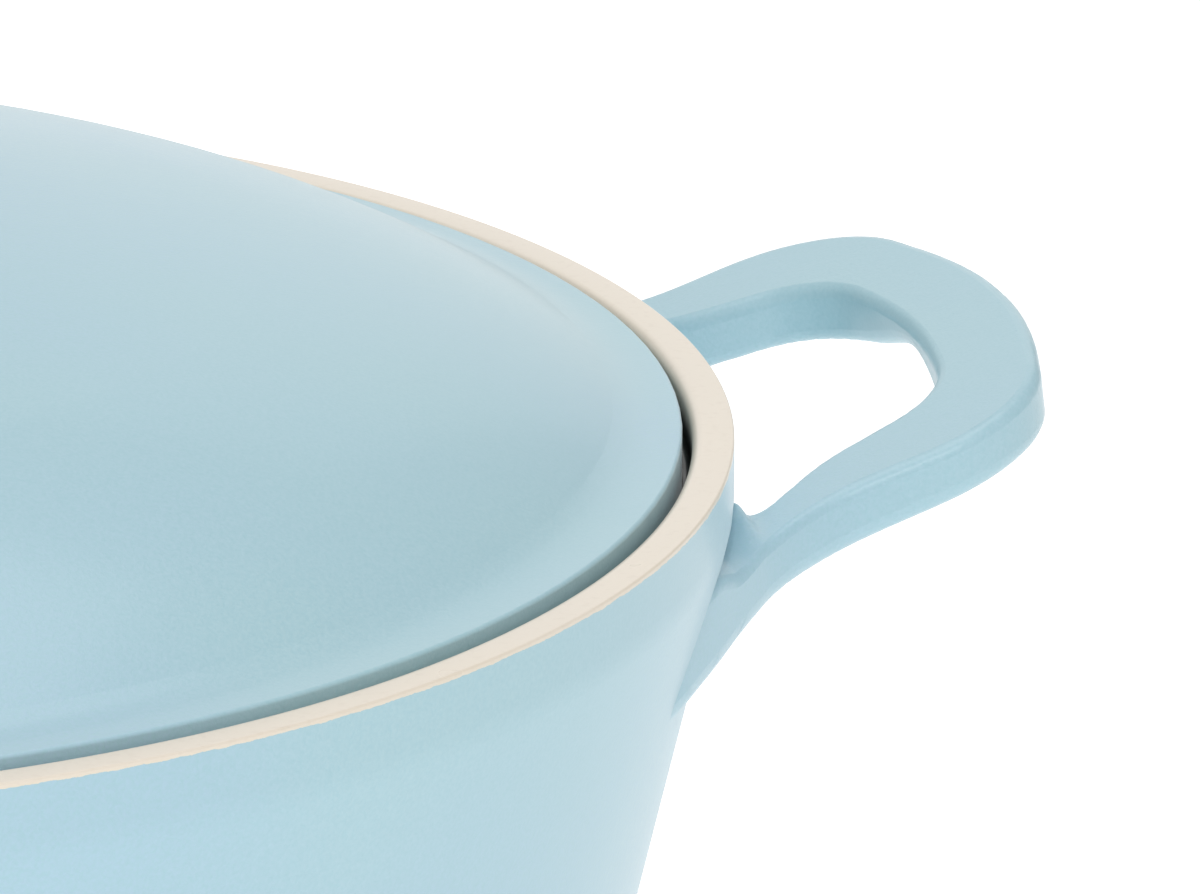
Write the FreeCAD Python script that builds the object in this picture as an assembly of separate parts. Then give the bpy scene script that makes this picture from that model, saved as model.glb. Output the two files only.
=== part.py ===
import FreeCAD
import Part

import math
import os

from FreeCAD import Vector

# Round cooking pot with two cast loop handles and a domed lid that sits down inside its rim.
# Millimetres. The origin is the centre of the foot, +Z is up, and the handles point along +X and -X.

# --- Pot casting -----------------------------------------------------------------------------
rim_radius = 130.0            # outside of the rim band
pot_height = 118.0            # foot to the top of the rim
band_height = 8.0             # upright band below the rim
side_taper = 0.24             # inward run of the side for each millimetre down
wall = 4.3                    # side wall, square to its surface
floor_thickness = 5.0
base_corner = 16.0            # outside rounding from side to foot
floor_corner = 12.0           # inside rounding from side to floor
foot_ring_width = 15.0        # flat ring that the pot stands on
foot_relief = 0.8             # height of the relieved middle of the base
band_blend = 12.0             # rounding between the band and the side
seat_blend = 30.0             # inside rounding between the side and the upright part under the seat
enamel = 0.4                  # light lining, on the rim top and all over the inside
enamel_edge = 0.3             # rounding of the lining at the outside of the rim
rim_edge = 0.9                # rounding of the casting at the inner edge of the rim

# --- Seat for the lid inside the rim ---------------------------------------------------------
rim_width = 4.8               # finished width of the rim, lining included
seat_depth = 5.5              # rim top down to the finished seat
seat_width = 4.7              # finished width of the seat
seat_edge = 1.2               # roundings at the foot and the lip of the seat
lid_gap = 1.1                 # radial gap between the lid's edge and the rim

# --- Loop handles ----------------------------------------------------------------------------
handle_reach = 39.2           # rim band to the tip of the loop
handle_half_width = 39.1      # half width at the outer corners
handle_waist = 38.4           # half width where the side meets its root flare
waist_out = 2.0               # that place, outwards of the rim band
handle_drop = 10.3            # top face below the rim, measured at the rim band
handle_slope = 0.325          # rise of the top for each millimetre outwards
under_slope = 0.362           # rise of the underside for each millimetre outwards
handle_thickness = 9.4        # upright thickness at the rim band, before the sweep
handle_draft = 0.12           # outward lean of the loop's outside for each millimetre down
opening_draft = 0.17          # outward lean of the finger opening for each millimetre down
under_tilt = 0.3              # the underside is this much higher beside the finger opening
tip_relief = 4.6              # and this much more at the middle of the tip, where the fingers hook
relief_half = 20.0            # half width over which that relief fades out
tip_radius = 80.0             # bow of the outer tip
tip_bow = 15.0                # degrees turned by half of the bow
corner_radius = 18.0
flare_radius = 22.0           # root flare of the side, seen from above
flare_angle = 29.0            # degrees round the pot where the flare has run out
flare_sink = 3.0              # how far the flare runs in behind the wall
flare_run_in = 18.0           # last stretch of the side, hidden in the wall: inwards
flare_run_along = 14.0        # and sideways
gusset_radius = 27.0          # sweep of the underside into the wall
gusset_sink = 4.4             # how far the sweep runs on behind the wall
valley_radius = 2.6           # curl of the loop's top where it meets the rim band
handle_edge = 2.1             # rounding of the loop's lower edges
handle_top_edge = 1.5         # rounding of its upper edges
opening_reach = 27.5          # rim band to the far side of the finger opening
opening_half_width = 22.2     # half width at its outer corners
opening_corner = 12.0
opening_tip_radius = 70.0     # bow of the far side of the opening
opening_bow = 11.0            # degrees turned by half of that bow
opening_root = 27.2           # half width of the opening where it starts to spread
opening_root_out = 8.0        # that place, outwards of the rim band
opening_spread = 36.0         # half width of the opening at the wall
opening_spread_in = 4.0       # that place, inwards of the rim band
opening_end = 22.0            # half width of the opening's outline, hidden in the wall
opening_end_in = 10.0         # where it reaches that, inwards of the rim band
opening_blend = 20.0          # rounding between the opening's side and its spread
root_radius = 4.0             # rounding between the opening's side and the wall
hidden_radius = 6.0           # rounding of the outline inside the wall
root_sink = 26.0              # how far the loop is sunk behind the rim band
turn_reach = 17.0             # rim band to the middles of the loop's two turns
turn_half = 12.0              # half width between those middles
root_stations = 26            # sections from the sunk end to the turn
turn_stations = 9             # sections round each turn

# --- Lid casting -----------------------------------------------------------------------------
crown_height = 29.6           # top of the dome above the rim
crown_radius = 303.0          # flat middle of the dome
crown_span = 76.8             # distance from the axis where the dome starts to fall faster
brim_hollow = 14.0            # hollow rounding between the dome and the brim
brim_width = 0.56             # flat of the brim, from that rounding to the lid's edge
brim_proud = 0.8              # brim above the rim top
lid_wall = 4.0
lid_edge = 0.5                # rounding of the brim's edge
lip_clearance = 0.6           # gap between the locating lip and the seat
lip_depth = 3.5               # locating lip below the seat
lip_width = 4.5
lip_bevel = 1.0
boss_radius = 14.0            # flat pad for the knob, above and below
boss_proud = 0.8
seat_play = 0.02              # lid to seat, so that the two faces meet without biting

# --- Knob and its fastening ------------------------------------------------------------------
gasket_radius = 12.0
gasket_thickness = 1.0
collar_radius = 13.0          # steel collar under the knob
collar_height = 3.0
collar_step = 1.4             # height of its wide lower flange
collar_edge = 0.4
collar_lip = 0.6              # collar's waist beyond the knob's neck
collar_sweep = 1.2
neck_radius = 8.5
neck_edge = 0.5
knob_radius = 22.0
knob_low_edge = 4.0           # roundings of the cap's edge, below and above
knob_top_edge = 3.0
knob_flat = 9.9               # radius where the cap starts to fall
knob_height = 26.0
knob_rim = 5.0                # depth of the cap's widest edge
knob_fall = 3.0               # fall of the cap from its middle to that edge
knob_crown = 30.0             # rounding between the flat middle and the fall
neck_height = 10.0            # neck below the cap
neck_sweep = 6.0              # sweep of the neck out into the cap
screw_radius = 3.0
screw_hole_play = 0.4
screw_grip = 12.0             # length of screw inside the insert
screw_head_radius = 6.0
screw_head_height = 3.2
screw_head_edge = 1.6
screw_tip = 0.8
driver_slot = 1.4             # width of each arm of the cross recess
driver_slot_length = 6.6
driver_slot_depth = 1.5
insert_radius = 5.0
insert_flange_radius = 6.4
insert_flange = 1.2
insert_length = 15.0
insert_groove = 0.6           # depth of the anti-pull groove
groove_start = 6.0
groove_width = 3.0
insert_spare = 1.5            # bore past the screw's tip
washer_radius = 8.0
washer_thickness = 1.2
lock_washer_radius = 5.4
lock_washer_thickness = 1.6
lock_washer_cut = 1.2
lock_washer_slant = 25.0      # degrees from upright

UP = Vector(0, 0, 1)
AXIS = Vector(0, 0, 0)


def rounded(points, closed=True):
    """Wire through (x, y, radius) corners in the XY plane, each corner a tangent arc."""
    count = len(points)
    edges = []
    last = None
    first = None
    for i, (x, y, radius) in enumerate(points):
        here = Vector(x, y, 0)
        end = not closed and i in (0, count - 1)
        if radius <= 0 or end:
            start = stop = here
        else:
            before = Vector(points[i - 1][0], points[i - 1][1], 0)
            after = Vector(points[(i + 1) % count][0], points[(i + 1) % count][1], 0)
            back = (before - here).normalize()
            ahead = (after - here).normalize()
            half = back.getAngle(ahead) / 2
            run = radius / math.tan(half)
            start = here + back * run
            stop = here + ahead * run
            middle = here + (back + ahead).normalize() * (radius / math.sin(half) - radius)
        if last is not None and last.distanceToPoint(start) > 1e-6:
            edges.append(Part.LineSegment(last, start).toShape())
        if start != stop:
            edges.append(Part.Arc(start, middle, stop).toShape())
        if first is None:
            first = start
        last = stop
    if closed and last.distanceToPoint(first) > 1e-6:
        edges.append(Part.LineSegment(last, first).toShape())
    return Part.Wire(edges)


def upright(shape):
    """Turn a drawing in XY into one in XZ, with its y as height."""
    return shape.rotated(AXIS, Vector(1, 0, 0), 90)


def turned(points):
    """Solid of revolution from (radius, height, rounding) corners."""
    face = Part.Face(upright(rounded(points)))
    return face.revolve(AXIS, UP, 360)


def disc(radius, low, high, bore=0.0):
    """Round plate or, with a bore, a ring."""
    body = Part.makeCylinder(radius, high - low, Vector(0, 0, low))
    if bore > 0:
        body = body.cut(Part.makeCylinder(bore, high - low, Vector(0, 0, low)))
    return body


def side_radius(height):
    """Outside radius of the casting's side at a height, below the band."""
    return rim_radius - side_taper * (pot_height - band_height - height)


lean = math.atan(side_taper)
seat_height = pot_height - seat_depth
recess_radius = rim_radius - rim_width + enamel      # bare casting, before the lining
seat_inner = rim_radius - rim_width - seat_width + enamel
lid_radius = rim_radius - rim_width - lid_gap


def hollow(skin):
    """The room inside the pot, as a solid: bare casting for skin 0, finished lining for its thickness."""
    inset = (wall + skin) / math.cos(lean)
    low = floor_thickness + skin
    seat = seat_height - enamel + skin
    top = pot_height - enamel + skin
    above = top + band_height
    edge = rim_edge + skin
    wide = recess_radius - skin + 2 * edge
    inner = seat_inner - skin
    knee = pot_height - band_height - (rim_radius - inset - inner) / side_taper
    bottom = side_radius(low) - inset
    return turned([
        (0, low, 0),
        (bottom, low, floor_corner - skin),
        (inner, knee, seat_blend),
        (inner, seat, seat_edge + skin),
        (recess_radius - skin, seat, seat_edge - skin),
        (recess_radius - skin, top, edge),
        (wide, top, 0),
        (wide, above, 0),
        (0, above, 0),
    ])


def pot_outside(top):
    """The pot with no hollow and no handles."""
    base = side_radius(0)
    foot_outer = base - base_corner * math.tan((math.pi / 2 - lean) / 2)
    foot_inner = foot_outer - foot_ring_width
    return turned([
        (0, foot_relief, 0),
        (foot_inner - 2 * foot_relief, foot_relief, 0),
        (foot_inner, 0, 0),
        (base, 0, base_corner),
        (rim_radius, pot_height - band_height, band_blend),
        (rim_radius, top, 0),
        (0, top, 0),
    ])


def handle_plan():
    """Outlines of the loop and of its finger opening at the top face, seen from above."""
    tip = rim_radius + handle_reach
    bow = math.radians(tip_bow)
    tip_x = tip - tip_radius + tip_radius / math.cos(bow)
    corner_x = tip_x - handle_half_width * math.tan(bow)
    flare = math.radians(flare_angle)
    sunk = rim_radius - flare_sink
    outer = [
        (corner_x, handle_half_width, corner_radius),
        (rim_radius + waist_out, handle_waist, flare_radius),
        (sunk * math.cos(flare), sunk * math.sin(flare), 0),
        (sunk * math.cos(flare) - flare_run_in, sunk * math.sin(flare) + flare_run_along, 0),
    ]
    far = rim_radius + opening_reach
    far_bow = math.radians(opening_bow)
    far_x = far - opening_tip_radius + opening_tip_radius / math.cos(far_bow)
    far_corner = far_x - opening_half_width * math.tan(far_bow)
    inner = [
        (far_corner, opening_half_width, opening_corner),
        (rim_radius + opening_root_out, opening_root, opening_blend),
        (rim_radius - opening_spread_in, opening_spread, root_radius),
        (rim_radius - opening_end_in, opening_end, hidden_radius),
        (rim_radius - root_sink - waist_out, opening_end, 0),
    ]
    outlines = []
    for x, radius, half in ((tip_x, tip_radius, outer), (far_x, opening_tip_radius, inner)):
        outlines.append(rounded([(x, 0, radius)] + half + [(u, -v, r) for u, v, r in reversed(half)]))
    return outlines


def top_height(point):
    """Height of the loop's flat top, which curls up where it meets the rim band."""
    flat = pot_height - handle_drop + handle_slope * (point.x - rim_radius)
    off = max(math.hypot(point.x, point.y) - rim_radius, 0.0)
    if off >= valley_radius:
        return flat
    return flat + valley_radius - math.sqrt(valley_radius ** 2 - (valley_radius - off) ** 2)


def under_height(radius):
    """Height of the loop's underside: a rising cone swept down into the wall."""
    rise = math.atan(under_slope)
    steep = math.pi / 2 - lean
    start = pot_height - handle_drop - handle_thickness
    meet = side_radius(start) - gusset_sink
    meet = (meet - side_taper * under_slope * rim_radius) / (1 - side_taper * under_slope)
    low = start + under_slope * (meet - rim_radius)
    run = gusset_radius * math.tan((steep - rise) / 2)
    tangent_r = meet + run * math.cos(rise)
    tangent_z = low + run * math.sin(rise)
    centre_r = tangent_r + gusset_radius * math.sin(rise)
    centre_z = tangent_z - gusset_radius * math.cos(rise)
    if radius > tangent_r:
        return tangent_z + under_slope * (radius - tangent_r)
    steep_r = centre_r - gusset_radius * math.sin(steep)
    if radius > steep_r:
        return centre_z + math.sqrt(gusset_radius ** 2 - (centre_r - radius) ** 2)
    steep_z = centre_z + gusset_radius * math.cos(steep)
    return steep_z - (steep_r - radius) / (2 * side_taper)


def opening_lift(point):
    """How much higher the underside is beside the finger opening than at the outside."""
    share = min(abs(point.y) / relief_half, 1.0)
    return under_tilt + tip_relief * (1 + math.cos(math.pi * share)) / 2


def handle_section(start, end, outlines):
    """Rounded section of the loop in the upright plane through start and end."""
    outer, inner = outlines
    cut = Part.makeLine(start, end)
    a = min((v.Point for v in cut.section(inner).Vertexes), key=start.distanceToPoint)
    b = min((v.Point for v in cut.section(outer).Vertexes), key=start.distanceToPoint)
    width = a.distanceToPoint(b)
    along = (b - a).normalize()
    low_in = under_height(math.hypot(a.x, a.y)) + opening_lift(a)
    low_out = under_height(math.hypot(b.x, b.y))
    splay = handle_draft * min(top_height(b) - low_out, 2 * handle_thickness)
    inset = opening_draft * min(top_height(a) - low_in, 2 * handle_thickness)
    flat = rounded([
        (inset, low_in, handle_edge),
        (width + splay, low_out, handle_edge),
        (width, top_height(b), handle_top_edge),
        (0, top_height(a), handle_top_edge),
    ])
    matrix = FreeCAD.Matrix(along.x, 0, -along.y, a.x, along.y, 0, along.x, a.y, 0, 1, 0, 0, 0, 0, 0, 1)
    return flat.transformGeometry(matrix)


def handle_loop():
    """One loop handle on the +X side, lofted through its sections, both ends sunk in the wall."""
    outlines = handle_plan()
    turn_x = rim_radius + turn_reach
    far = 3 * handle_half_width
    side = []
    start_x = rim_radius - root_sink
    for i in range(root_stations):
        x = start_x + (turn_x - start_x) * i / root_stations
        side.append((Vector(x, turn_half, 0), Vector(x, far, 0)))
    for i in range(turn_stations + 1):
        angle = math.pi / 2 * (1 - i / turn_stations)
        centre = Vector(turn_x, turn_half, 0)
        side.append((centre, centre + Vector(math.cos(angle), math.sin(angle), 0) * far))
    middle = (Vector(turn_x, 0, 0), Vector(turn_x + far, 0, 0))
    other = [(Vector(a.x, -a.y, 0), Vector(b.x, -b.y, 0)) for a, b in reversed(side)]
    return Part.makeLoft([handle_section(a, b, outlines) for a, b in side + [middle] + other], True, False)


def mirrored(shape):
    """The same piece on the other side of the pot."""
    return shape.rotated(AXIS, UP, 180.0)


def pot_body():
    """Casting: pot and both loops in one, hollowed out, without its lining."""
    loop = handle_loop()
    solid = pot_outside(pot_height - enamel).fuse([loop, mirrored(loop)])
    return solid.cut(hollow(0.0))


def pot_lining():
    """Light enamel over the rim top, the seat and the inside."""
    cap = disc(rim_radius, pot_height - enamel, pot_height)
    top_edges = [e for e in cap.Edges if e.Length > rim_radius and e.CenterOfMass.z > pot_height - 0.01]
    cap = cap.makeFillet(enamel_edge, top_edges)
    inside = hollow(0.0).common(disc(rim_radius, 0, pot_height))
    return cap.fuse(inside).cut(hollow(enamel)).removeSplitter()


def lid_top():
    """Arcs of the lid's top: centres, and the radius of the shoulder that joins crown and brim."""
    turn = math.asin(crown_span / crown_radius)
    crown_z = pot_height + crown_height - crown_radius
    bend = (lid_radius - brim_width, pot_height + brim_proud + brim_hollow)
    off_r = crown_span - bend[0]
    off_z = crown_z + crown_radius * math.cos(turn) - bend[1]
    reach = off_r * math.sin(turn) + off_z * math.cos(turn)
    radius = (off_r ** 2 + off_z ** 2 - brim_hollow ** 2) / (2 * (brim_hollow + reach))
    shoulder = (crown_span - radius * math.sin(turn), crown_z + (crown_radius - radius) * math.cos(turn))
    return crown_z, shoulder, radius, bend, turn


def arc(centre, radius, start, stop):
    """Arc in XZ about a centre, between two angles measured from +Z towards +X."""
    def at(angle):
        return Vector(centre[0] + radius * math.sin(angle), 0, centre[1] + radius * math.cos(angle))
    return Part.Arc(at(start), at((start + stop) / 2), at(stop)).toShape()


def run(points):
    """Straight edges through (radius, height) points."""
    places = [Vector(r, 0, z) for r, z in points]
    return [Part.LineSegment(p, q).toShape() for p, q in zip(places, places[1:])]


def dome(inset, outer_r, foot):
    """Solid under the lid's dome, its top let down by inset, out to a radius and down to a foot."""
    crown_z, shoulder, radius, _, turn = lid_top()
    fall = math.asin((outer_r - shoulder[0]) / (radius - inset))
    crown = arc((0, crown_z), crown_radius - inset, 0, turn)
    edge = arc(shoulder, radius - inset, turn, fall)
    start = (0, crown_z + crown_radius - inset)
    stop = (outer_r, shoulder[1] + (radius - inset) * math.cos(fall))
    wire = Part.Wire([crown, edge] + run([stop, (outer_r, foot), (0, foot), start]))
    return Part.Face(wire).revolve(AXIS, UP, 360)


def lid_blank():
    """The lid before it is hollowed: dome, brim, edge and locating lip."""
    crown_z, shoulder, radius, bend, turn = lid_top()
    seat = seat_height + seat_play
    lip_r = seat_inner - enamel - lip_clearance
    fall = math.atan2(bend[0] - shoulder[0], bend[1] - shoulder[1])
    brim = pot_height + brim_proud
    crown = arc((0, crown_z), crown_radius, 0, turn)
    edge = arc(shoulder, radius, turn, fall)
    valley = arc(bend, brim_hollow, fall + math.pi, math.pi)
    rounding = math.pi / 2
    corner = arc((lid_radius - lid_edge, brim - lid_edge), lid_edge, 0, rounding)
    under = arc((lid_radius - lid_edge, seat + lid_edge), lid_edge, rounding, 2 * rounding)
    lip_low = seat - lip_depth
    path = [crown, edge, valley]
    path += run([(bend[0], brim), (lid_radius - lid_edge, brim)])
    path.append(corner)
    path += run([(lid_radius, brim - lid_edge), (lid_radius, seat + lid_edge)])
    path.append(under)
    path += run([(lid_radius - lid_edge, seat), (lip_r, seat), (lip_r, lip_low + lip_bevel)])
    path += run([(lip_r, lip_low + lip_bevel), (lip_r - lip_bevel, lip_low), (0, lip_low)])
    path += run([(0, lip_low), (0, crown_z + crown_radius)])
    return Part.Face(Part.Wire(path)).revolve(AXIS, UP, 360)


def lid_room(skin):
    """The hollow under the lid as a solid, smaller all over by skin."""
    lip_r = seat_inner - enamel - lip_clearance
    low = seat_height + seat_play - lip_depth
    return dome(lid_wall + skin, lip_r - lip_width - skin, low - lip_depth)


boss_top = pot_height + crown_height + boss_proud
boss_under = pot_height + crown_height - lid_wall - boss_proud
screw_hole = screw_radius + screw_hole_play


def lid_shell():
    body = lid_blank().cut(lid_room(0.0))
    body = body.fuse(disc(boss_radius, boss_under, boss_top)).cut(disc(screw_hole, boss_under, boss_top))
    return body.removeSplitter()


def lid_lining():
    """Light enamel on the underside of the lid, inside the lip, over the flat pad as well."""
    skin = lid_room(0.0).cut(lid_room(enamel))
    low = seat_height + seat_play - lip_depth
    skin = skin.common(disc(rim_radius, low, boss_top))
    skin = skin.cut(disc(boss_radius + enamel, boss_under - enamel, boss_top))
    pad = disc(boss_radius + enamel, boss_under - enamel, boss_top)
    pad = pad.common(lid_room(0.0)).cut(disc(boss_radius, boss_under, boss_top))
    return skin.fuse(pad).cut(disc(screw_hole, boss_under - enamel, boss_top)).removeSplitter()


gasket_top = boss_top + gasket_thickness
collar_top = gasket_top + collar_height
insert_top = collar_top + insert_length
knob_top = collar_top + knob_height


def knob_gasket():
    return disc(gasket_radius, boss_top, gasket_top, screw_hole)


def knob_collar():
    """Turned steel collar: a flange on the gasket and a narrower waist under the knob."""
    return turned([
        (screw_hole, gasket_top, 0),
        (collar_radius, gasket_top, collar_edge),
        (collar_radius, gasket_top + collar_step, collar_edge),
        (neck_radius + collar_lip, collar_top, collar_sweep),
        (neck_radius - collar_sweep, collar_top, 0),
        (screw_hole, collar_top, 0),
    ])


def insert_outline():
    """Brass insert with an anti-pull groove and a flange at its mouth, before it is bored."""
    groove = insert_radius - insert_groove
    groove_low = collar_top + groove_start
    groove_high = groove_low + groove_width
    return turned([
        (0, collar_top, 0),
        (insert_flange_radius, collar_top, 0),
        (insert_flange_radius, collar_top + insert_flange, 0),
        (insert_radius, collar_top + insert_flange, 0),
        (insert_radius, groove_low, 0),
        (groove, groove_low, 0),
        (groove, groove_high, 0),
        (insert_radius, groove_high, 0),
        (insert_radius, insert_top, 0),
        (0, insert_top, 0),
    ])


def knob_insert():
    return insert_outline().cut(disc(screw_radius, collar_top, collar_top + screw_grip + insert_spare))


def knob():
    """Round knob: a waisted neck under a wide cap with a gently domed top."""
    shoulder = knob_top - knob_fall
    body = turned([
        (0, collar_top, 0),
        (neck_radius, collar_top, neck_edge),
        (neck_radius, collar_top + neck_height, neck_sweep),
        (knob_radius, shoulder - knob_rim, knob_low_edge),
        (knob_radius, shoulder, knob_top_edge),
        (knob_flat, knob_top, knob_crown),
        (0, knob_top, 0),
    ])
    return body.cut(insert_outline())


washer_top = boss_under - enamel
lock_top = washer_top - washer_thickness
head_top = lock_top - lock_washer_thickness


def knob_washer():
    return disc(washer_radius, lock_top, washer_top, screw_hole)


def knob_lock_washer():
    """Split spring washer."""
    ring = disc(lock_washer_radius, head_top, lock_top, screw_hole)
    slit = Part.makeBox(lock_washer_radius * 2, lock_washer_cut, lock_washer_thickness * 3)
    slit.translate(Vector(0, -lock_washer_cut / 2, head_top - lock_washer_thickness))
    slit.rotate(Vector(0, 0, (head_top + lock_top) / 2), Vector(1, 0, 0), lock_washer_slant)
    return ring.cut(slit)


def knob_screw():
    """Pan-head screw with a cross recess, its tip inside the insert."""
    head_low = head_top - screw_head_height
    body = turned([
        (0, head_low, 0),
        (screw_head_radius, head_low, screw_head_edge),
        (screw_head_radius, head_top, 0),
        (screw_radius, head_top, 0),
        (screw_radius, collar_top + screw_grip, screw_tip),
        (0, collar_top + screw_grip, 0),
    ])
    for turn in (0.0, 90.0):
        arm = Part.makeBox(driver_slot_length, driver_slot, driver_slot_depth)
        arm.translate(Vector(-driver_slot_length / 2, -driver_slot / 2, head_low))
        arm.rotate(AXIS, UP, turn)
        body = body.cut(arm)
    return body


PIECES = {
    "pot_body": pot_body,
    "pot_lining": pot_lining,
    "lid_shell": lid_shell,
    "lid_lining": lid_lining,
    "knob_gasket": knob_gasket,
    "knob_collar": knob_collar,
    "knob": knob,
    "knob_insert": knob_insert,
    "knob_washer": knob_washer,
    "knob_lock_washer": knob_lock_washer,
    "knob_screw": knob_screw,
}

if __name__ == "__main__":
    os.makedirs("parts", exist_ok=True)
    for name, make in PIECES.items():
        shape = make()
        solids = shape.Solids
        piece = solids[0] if len(solids) == 1 else shape
        print(name, "valid", piece.isValid(), "solids", len(solids), "volume", round(piece.Volume))
        piece.exportStep(os.path.join("parts", name + ".step"))
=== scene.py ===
import math

import bpy
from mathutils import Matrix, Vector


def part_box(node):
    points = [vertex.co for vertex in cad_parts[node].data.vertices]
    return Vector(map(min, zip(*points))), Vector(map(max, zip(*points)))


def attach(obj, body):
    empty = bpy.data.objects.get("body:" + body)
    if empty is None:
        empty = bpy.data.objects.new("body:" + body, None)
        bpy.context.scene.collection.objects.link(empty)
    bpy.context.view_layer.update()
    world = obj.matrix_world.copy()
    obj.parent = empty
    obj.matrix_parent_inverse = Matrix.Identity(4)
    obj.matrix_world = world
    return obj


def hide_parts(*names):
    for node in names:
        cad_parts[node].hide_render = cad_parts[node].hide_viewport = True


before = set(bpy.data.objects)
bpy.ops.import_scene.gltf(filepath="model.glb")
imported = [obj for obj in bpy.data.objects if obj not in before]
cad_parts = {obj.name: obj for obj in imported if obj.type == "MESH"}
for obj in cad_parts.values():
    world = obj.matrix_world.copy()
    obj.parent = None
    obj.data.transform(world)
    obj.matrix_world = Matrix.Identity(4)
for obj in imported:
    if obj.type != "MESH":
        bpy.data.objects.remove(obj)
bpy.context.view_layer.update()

rim_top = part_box("pot_lining")[1][2]
scene = bpy.context.scene

# ---------------------------------------------------------------------------------------------
# Camera. A long lens from about one and a half metres, a little above the rim and to the left,
# looking at the right-hand handle.
camera_data = bpy.data.cameras.new("camera")
camera_data.lens = 360.0
camera_data.sensor_width = 36.0
camera_data.dof.use_dof = False
camera = bpy.data.objects.new("camera", camera_data)
camera.location = (-0.2688, -1.2717, rim_top + 0.4176)
camera.rotation_euler = (math.radians(72.053), 0.0, math.radians(-17.0))
scene.collection.objects.link(camera)
scene.camera = camera

# ---------------------------------------------------------------------------------------------
# Table and light. A white sweep that glows a little itself, so that it leaves almost no shadow.
# Large soft boxes stand in front, low on the left and high in the middle, overhead and behind,
# and one small bright lamp in front draws the thin glints along the edges.
floor_mesh = bpy.data.meshes.new("floor")
reach = 4.0
corners = [(-reach, -reach, 0.0), (reach, -reach, 0.0), (reach, reach, 0.0), (-reach, reach, 0.0)]
floor_mesh.from_pydata(corners, [], [(0, 1, 2, 3)])
floor = bpy.data.objects.new("floor", floor_mesh)
floor.location.z = -0.0002
scene.collection.objects.link(floor)
paper = bpy.data.materials.new("paper")
paper.use_nodes = True
paper_shader = paper.node_tree.nodes["Principled BSDF"]
paper_shader.inputs["Base Color"].default_value = (0.86, 0.86, 0.86, 1.0)
paper_shader.inputs["Roughness"].default_value = 0.9
paper_shader.inputs["Emission Color"].default_value = (1.0, 1.0, 1.0, 1.0)
paper_shader.inputs["Emission Strength"].default_value = 0.44
floor_mesh.materials.append(paper)

world = bpy.data.worlds.new("studio")
world.use_nodes = True
world.node_tree.nodes["Background"].inputs["Color"].default_value = (1.0, 1.0, 1.0, 1.0)
world.node_tree.nodes["Background"].inputs["Strength"].default_value = 0.38
scene.world = world
scene.view_settings.view_transform = "Standard"


def soft_box(name, place, size, watts):
    """Square soft box that faces the middle of the pot."""
    data = bpy.data.lights.new(name, "AREA")
    data.shape = "SQUARE"
    data.size = size
    data.energy = watts
    box = bpy.data.objects.new(name, data)
    box.location = place
    aim = [target - start for target, start in zip((0.0, 0.0, rim_top), place)]
    turn = math.atan2(aim[1], aim[0]) - math.pi / 2
    fall = math.atan2(math.hypot(aim[0], aim[1]), -aim[2])
    box.rotation_euler = (fall, 0.0, turn)
    scene.collection.objects.link(box)


soft_box("key_light", (-1.2, -1.65, 0.55), 0.8, 4.5)
soft_box("fill_light", (0.3, -1.5, 1.7), 0.9, 9.0)
soft_box("spark_light", (-0.35, -1.45, 1.55), 0.12, 4.5)
soft_box("top_light", (0.1, 0.3, 1.9), 1.4, 12.0)
soft_box("back_light", (0.7, 2.3, 0.9), 2.0, 9.5)

# ---------------------------------------------------------------------------------------------
# Pot casting with its two handles. Cast iron, blasted and sprayed outside with a light blue
# satin coat whose fine grain catches the light. The coat was masked off just under the rim, so
# the cream lining shows as a thin uneven line there.


def add(tree, kind, **values):
    """New shader node with its inputs set by name, from another node's output or a plain value."""
    made = tree.nodes.new("ShaderNode" + kind)
    for name, value in values.items():
        target = made.inputs[name.replace("_", " ")]
        if isinstance(value, bpy.types.NodeSocket):
            tree.links.new(value, target)
        else:
            target.default_value = value
    return made


def noise(tree, place, scale, detail, rough=0.5):
    """Noise over the object's own metres, so scale counts features to the metre."""
    return add(tree, "TexNoise", Vector=place, Scale=scale, Detail=detail, Roughness=rough).outputs["Fac"]


def ramp(tree, value, low, high, start=0.0, stop=1.0):
    """Value stretched from low..high to start..stop, held at both ends."""
    made = tree.nodes.new("ShaderNodeMapRange")
    tree.links.new(value, made.inputs["Value"])
    for name, number in (("From Min", low), ("From Max", high), ("To Min", start), ("To Max", stop)):
        made.inputs[name].default_value = number
    return made.outputs["Result"]


def mixed(tree, share, first, second):
    """Colour between first and second."""
    made = tree.nodes.new("ShaderNodeMix")
    made.data_type = "RGBA"
    for name, value in ((0, share), (6, first), (7, second)):
        if isinstance(value, bpy.types.NodeSocket):
            tree.links.new(value, made.inputs[name])
        else:
            made.inputs[name].default_value = value
    return made.outputs[2]


def math_node(tree, operation, first, second=0.0):
    """One sum on two numbers or node outputs."""
    made = tree.nodes.new("ShaderNodeMath")
    made.operation = operation
    for i, value in enumerate((first, second)):
        if isinstance(value, bpy.types.NodeSocket):
            tree.links.new(value, made.inputs[i])
        else:
            made.inputs[i].default_value = value
    return made.outputs[0]


def from_axis(tree, place):
    """Distance from the pot's upright axis, and the height."""
    parts = add(tree, "SeparateXYZ", Vector=place).outputs
    squares = [math_node(tree, "POWER", parts[name], 2.0) for name in ("X", "Y")]
    return math_node(tree, "SQRT", math_node(tree, "ADD", *squares)), parts["Z"]


def bumped(tree, shader, layers):
    """Bump from (height, depth in metres) layers, one on the other."""
    normal = None
    for height, depth in layers:
        bump = add(tree, "Bump", Height=height, Distance=depth, Strength=1.0)
        if normal is not None:
            tree.links.new(normal, bump.inputs["Normal"])
        normal = bump.outputs["Normal"]
    tree.links.new(normal, shader.inputs["Normal"])


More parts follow.
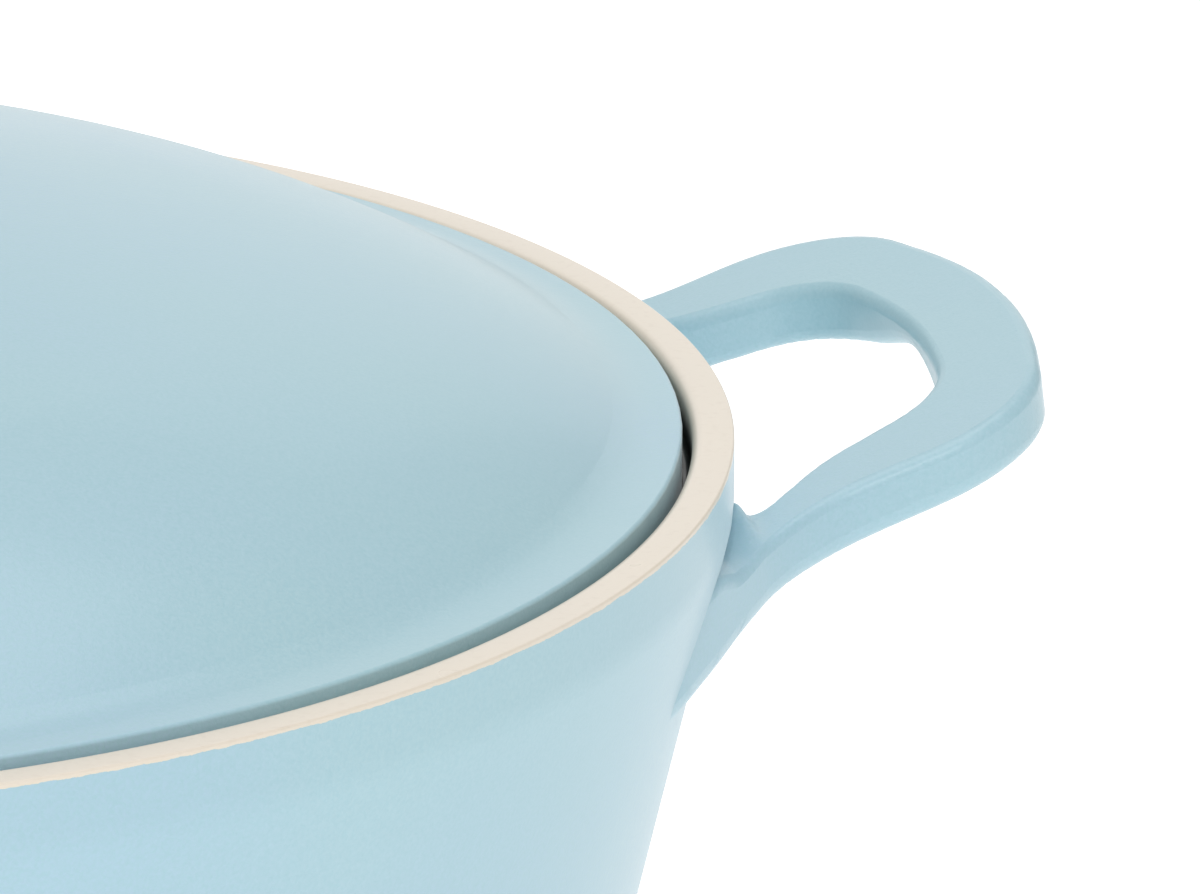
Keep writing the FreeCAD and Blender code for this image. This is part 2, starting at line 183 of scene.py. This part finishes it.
def fresh(name):
    """New node material: its tree, its main shader, and the object's own coordinates."""
    made = bpy.data.materials.new(name)
    made.use_nodes = True
    tree = made.node_tree
    return made, tree, tree.nodes["Principled BSDF"], tree.nodes.new("ShaderNodeTexCoord").outputs["Object"]


def paint(node, material):
    """The CAD piece takes this material in all its slots."""
    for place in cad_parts[node].material_slots:
        place.material = material


blue = (0.425, 0.628, 0.688, 1.0)
blue_cool = (0.415, 0.606, 0.716, 1.0)
blue_dark = (0.372, 0.590, 0.660, 1.0)
cream = (0.800, 0.715, 0.595, 1.0)


def blue_coat(name):
    """Satin sprayed coat: soft clouding, fine grain in colour and height, tiny dark specks."""
    made, tree, shader, place = fresh(name)
    clouds = noise(tree, place, 14.0, 2.0)
    colour = mixed(tree, ramp(tree, clouds, 0.35, 0.65), blue, blue_cool)
    grain = noise(tree, place, 2100.0, 2.0)
    colour = mixed(tree, ramp(tree, grain, 0.30, 0.70, 0.85, 0.0), colour, blue_dark)
    cells = add(tree, "TexVoronoi", Vector=place, Scale=95.0)
    speck = ramp(tree, cells.outputs["Distance"], 0.035, 0.06, 1.0, 0.0)
    rare = add(tree, "SeparateColor", Color=cells.outputs["Color"]).outputs[0]
    speck = math_node(tree, "MULTIPLY", speck, ramp(tree, rare, 0.965, 0.97))
    colour = mixed(tree, speck, colour, (0.16, 0.22, 0.25, 1.0))
    tree.links.new(ramp(tree, grain, 0.3, 0.7, 0.34, 0.48), shader.inputs["Roughness"])
    shader.inputs["IOR"].default_value = 1.5
    shader.inputs["Coat Weight"].default_value = 0.25
    shader.inputs["Coat Roughness"].default_value = 0.17
    shader.inputs["Sheen Weight"].default_value = 0.22
    shader.inputs["Sheen Roughness"].default_value = 0.25
    peel = noise(tree, place, 330.0, 2.0)
    bumped(tree, shader, [(peel, 0.00005), (grain, 0.00004)])
    return made, tree, shader, place, colour


rim_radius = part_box("pot_lining")[1][0]
tape_edge = 0.00064         # the masking tape's lower edge below the rim top
tape_fade = 0.00006         # over which the coat thins out there
bleed = 0.00013             # how far the coat creeps either way
casting_coat, tree, shader, place, colour = blue_coat("casting_coat")
radius, height = from_axis(tree, place)
inside = ramp(tree, radius, rim_radius + 0.0002, rim_radius + 0.0004, 1.0, 0.0)
ragged = ramp(tree, noise(tree, place, 480.0, 5.0, 0.75), 0.3, 0.7, -bleed, bleed)
line = math_node(tree, "ADD", height, ragged)
masked = ramp(tree, line, rim_top - tape_edge, rim_top - tape_edge + tape_fade)
masked = math_node(tree, "MULTIPLY", masked, inside)
tree.links.new(mixed(tree, masked, colour, cream), shader.inputs["Base Color"])
paint("pot_body", casting_coat)

# ---------------------------------------------------------------------------------------------
# Pot lining. Light cream enamel fired on over the rim top and the whole inside, smooth and
# slightly wavy, a touch warmer where it lies thin. The recess for the lid's edge is painted
# near black, darker deeper down, as painted shade for the deep dark gap round the lid.
lining_enamel, tree, shader, place = fresh("lining_enamel")
waves = noise(tree, place, 35.0, 2.0)
colour = mixed(tree, ramp(tree, waves, 0.35, 0.65), cream, (0.810, 0.730, 0.620, 1.0))
pinhead = noise(tree, place, 900.0, 1.0)
colour = mixed(tree, ramp(tree, pinhead, 0.25, 0.45, 0.25, 0.0), colour, (0.70, 0.61, 0.50, 1.0))
radius, height = from_axis(tree, place)
seat_lip = 0.0096           # from the outside of the rim in to the lip of the lid's seat
# Painted shade: beyond the seat's lip the lining turns near black, darker the deeper it goes.
beyond_lip = ramp(tree, radius, rim_radius - seat_lip, rim_radius - seat_lip + 0.0004)
shade_with_depth = ramp(tree, height, rim_top - 0.0036, rim_top - 0.0011, 1.0, 0.0)
recess_shade_colour = (0.010, 0.011, 0.008, 1.0)
colour = mixed(tree, math_node(tree, "MULTIPLY", beyond_lip, shade_with_depth), colour, recess_shade_colour)
tree.links.new(colour, shader.inputs["Base Color"])
tree.links.new(ramp(tree, waves, 0.3, 0.7, 0.26, 0.36), shader.inputs["Roughness"])
shader.inputs["Coat Weight"].default_value = 0.15
shader.inputs["Coat Roughness"].default_value = 0.2
bumped(tree, shader, [(waves, 0.0001), (noise(tree, place, 240.0, 2.0), 0.00002)])

# Cross-section of the lining, as (radius, height, rounding) corners, first over the finished
# face from the middle of the floor up to the rim, then back down the face on the iron.
skin = 0.0004               # thickness of the lining
iron = 0.0043               # wall of the casting behind it
iron_floor = 0.005
side_slope = 0.24           # inward run of the side for each metre down
band_height = 0.008         # upright band below the rim
iron_lip = 0.0091           # outside of the rim in to the bare iron of the seat's lip
iron_recess = 0.0044        # and in to the recess above the seat
seat_depth = 0.0055
floor_corner = 0.012        # roundings of the bare iron
seat_blend = 0.03
seat_edge = 0.0012
rim_edge = 0.0009
outer_edge = 0.0003         # rounding of the lining at the outside of the rim


def lining_corners(depth):
    """Corners of the face that lies this far into the pot from the bare iron."""
    lip = rim_radius - iron_lip - depth
    recess = rim_radius - iron_recess - depth
    low = iron_floor + depth
    band = rim_top - band_height
    thick = (iron + depth) / math.cos(math.atan(side_slope))
    knee = band - (rim_radius - thick - lip) / side_slope
    bottom = rim_radius - side_slope * (band - low) - thick
    seat = rim_top - seat_depth - skin + depth
    return [
        (0.0, low, 0.0),
        (bottom, low, floor_corner - depth),
        (lip, knee, seat_blend),
        (lip, seat, seat_edge + depth),
        (recess, seat, seat_edge - depth),
        (recess, rim_top - skin + depth, rim_edge + depth),
    ]


def turned_by(angle):
    """The same angle between minus and plus half a turn."""
    return (angle + math.pi) % (2 * math.pi) - math.pi


def rounded_line(corners, steps):
    """Points along a line whose corners are turned into arcs."""
    points = [corners[0][:2]]
    for before, here, after in zip(corners, corners[1:], corners[2:]):
        x, z, radius = here
        if radius <= 0.0:
            points.append((x, z))
            continue
        back = math.atan2(before[1] - z, before[0] - x)
        ahead = math.atan2(after[1] - z, after[0] - x)
        half = abs(turned_by(ahead - back)) / 2
        run = radius / math.tan(half)
        away = radius / math.sin(half)
        middle = math.atan2(math.sin(back) + math.sin(ahead), math.cos(back) + math.cos(ahead))
        centre_x, centre_z = x + away * math.cos(middle), z + away * math.sin(middle)
        first, last = [
            math.atan2(z + run * math.sin(way) - centre_z, x + run * math.cos(way) - centre_x)
            for way in (back, ahead)
        ]
        for i in range(steps + 1):
            angle = first + turned_by(last - first) * i / steps
            points.append((centre_x + radius * math.cos(angle), centre_z + radius * math.sin(angle)))
    points.append(corners[-1][:2])
    return points


def lathed(name, profile, turns):
    """Smooth closed mesh turned about the pot's axis, its first and last points on the axis."""
    points = [(0.0, 0.0, profile[0][1]), (0.0, 0.0, profile[-1][1])]
    ring = profile[1:-1]
    for k in range(turns):
        angle = 2 * math.pi * k / turns
        points += [(r * math.cos(angle), r * math.sin(angle), z) for r, z in ring]
    faces = []
    for k in range(turns):
        one = 2 + k * len(ring)
        two = 2 + (k + 1) % turns * len(ring)
        faces.append((0, one, two))
        faces.append((1, two + len(ring) - 1, one + len(ring) - 1))
        faces += [(one + i, one + i + 1, two + i + 1, two + i) for i in range(len(ring) - 1)]
    mesh = bpy.data.meshes.new(name)
    mesh.from_pydata(points, [], faces)
    mesh.polygons.foreach_set("use_smooth", [True] * len(faces))
    mesh.set_sharp_from_angle(angle=math.radians(40.0))
    piece = bpy.data.objects.new(name, mesh)
    scene.collection.objects.link(piece)
    return piece


foot = (rim_radius, rim_top - skin, 0.0)
face = lining_corners(skin) + [(rim_radius, rim_top, outer_edge), foot]
back = lining_corners(0.0) + [foot]
arc_steps = 8
outline = rounded_line(face, arc_steps) + rounded_line(back, arc_steps)[-2::-1]
lining = lathed("cream_lining", outline, 360)
lining.data.materials.append(lining_enamel)
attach(lining, "pot")
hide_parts("pot_lining")

# ---------------------------------------------------------------------------------------------
# Lid casting. A domed cast iron lid that drops inside the rim, in the same blue coat all over
# the top and round its edge.
lid_coat, tree, shader, place, colour = blue_coat("lid_coat")
tree.links.new(colour, shader.inputs["Base Color"])
paint("lid_shell", lid_coat)

# ---------------------------------------------------------------------------------------------
# Lid lining. The same cream enamel on the underside of the dome, inside the locating lip, fired
# on thin and even over the flat pad under the knob as well.
paint("lid_lining", lining_enamel)

# ---------------------------------------------------------------------------------------------
# Knob. One black moulded phenolic piece, its satin skin slightly mottled, screwed down through
# the lid.
phenolic, tree, shader, place = fresh("phenolic")
mottle = noise(tree, place, 160.0, 4.0, 0.6)
colour = mixed(tree, ramp(tree, mottle, 0.3, 0.7), (0.012, 0.012, 0.013, 1.0), (0.024, 0.023, 0.024, 1.0))
tree.links.new(colour, shader.inputs["Base Color"])
tree.links.new(ramp(tree, mottle, 0.3, 0.7, 0.30, 0.42), shader.inputs["Roughness"])
bumped(tree, shader, [(noise(tree, place, 1500.0, 2.0), 0.00002)])
paint("knob", phenolic)

# ---------------------------------------------------------------------------------------------
# Brass insert. Turned brass with an anti-pull groove, moulded into the knob to take the screw.
# Only its flanged mouth reaches the knob's underside, where the collar covers it.
brass, tree, shader, place = fresh("brass")
tarnish = noise(tree, place, 700.0, 3.0, 0.6)
colour = mixed(tree, ramp(tree, tarnish, 0.3, 0.7), (0.70, 0.49, 0.20, 1.0), (0.54, 0.36, 0.15, 1.0))
tree.links.new(colour, shader.inputs["Base Color"])
tree.links.new(ramp(tree, tarnish, 0.3, 0.7, 0.26, 0.44), shader.inputs["Roughness"])
shader.inputs["Metallic"].default_value = 1.0
bumped(tree, shader, [(tarnish, 0.00001)])
paint("knob_insert", brass)

# ---------------------------------------------------------------------------------------------
# Collar, screw and washers. Stainless steel, turned or pressed, with fine rings left round the
# knob's axis by the lathe. The screw comes up from inside the lid and clamps them all.
steel, tree, shader, place = fresh("turned_steel")
along = add(tree, "CombineXYZ", X=math_node(tree, "ADD", *from_axis(tree, place)))
rings = noise(tree, along.outputs["Vector"], 5200.0, 2.0)
colour = mixed(tree, ramp(tree, rings, 0.3, 0.7), (0.56, 0.57, 0.58, 1.0), (0.70, 0.71, 0.71, 1.0))
tree.links.new(colour, shader.inputs["Base Color"])
tree.links.new(ramp(tree, rings, 0.3, 0.7, 0.22, 0.36), shader.inputs["Roughness"])
shader.inputs["Metallic"].default_value = 1.0
bumped(tree, shader, [(rings, 0.00001)])
for node in ("knob_collar", "knob_screw", "knob_washer", "knob_lock_washer"):
    paint(node, steel)

# ---------------------------------------------------------------------------------------------
# Gasket. A thin dark rubber ring, punched from sheet. It lies under the collar and keeps the
# steel off the coat.
rubber, tree, shader, place = fresh("rubber")
bloom = noise(tree, place, 600.0, 3.0)
colour = mixed(tree, ramp(tree, bloom, 0.3, 0.7), (0.030, 0.030, 0.031, 1.0), (0.055, 0.054, 0.053, 1.0))
tree.links.new(colour, shader.inputs["Base Color"])
tree.links.new(ramp(tree, bloom, 0.3, 0.7, 0.65, 0.85), shader.inputs["Roughness"])
bumped(tree, shader, [(bloom, 0.00002)])
paint("knob_gasket", rubber)
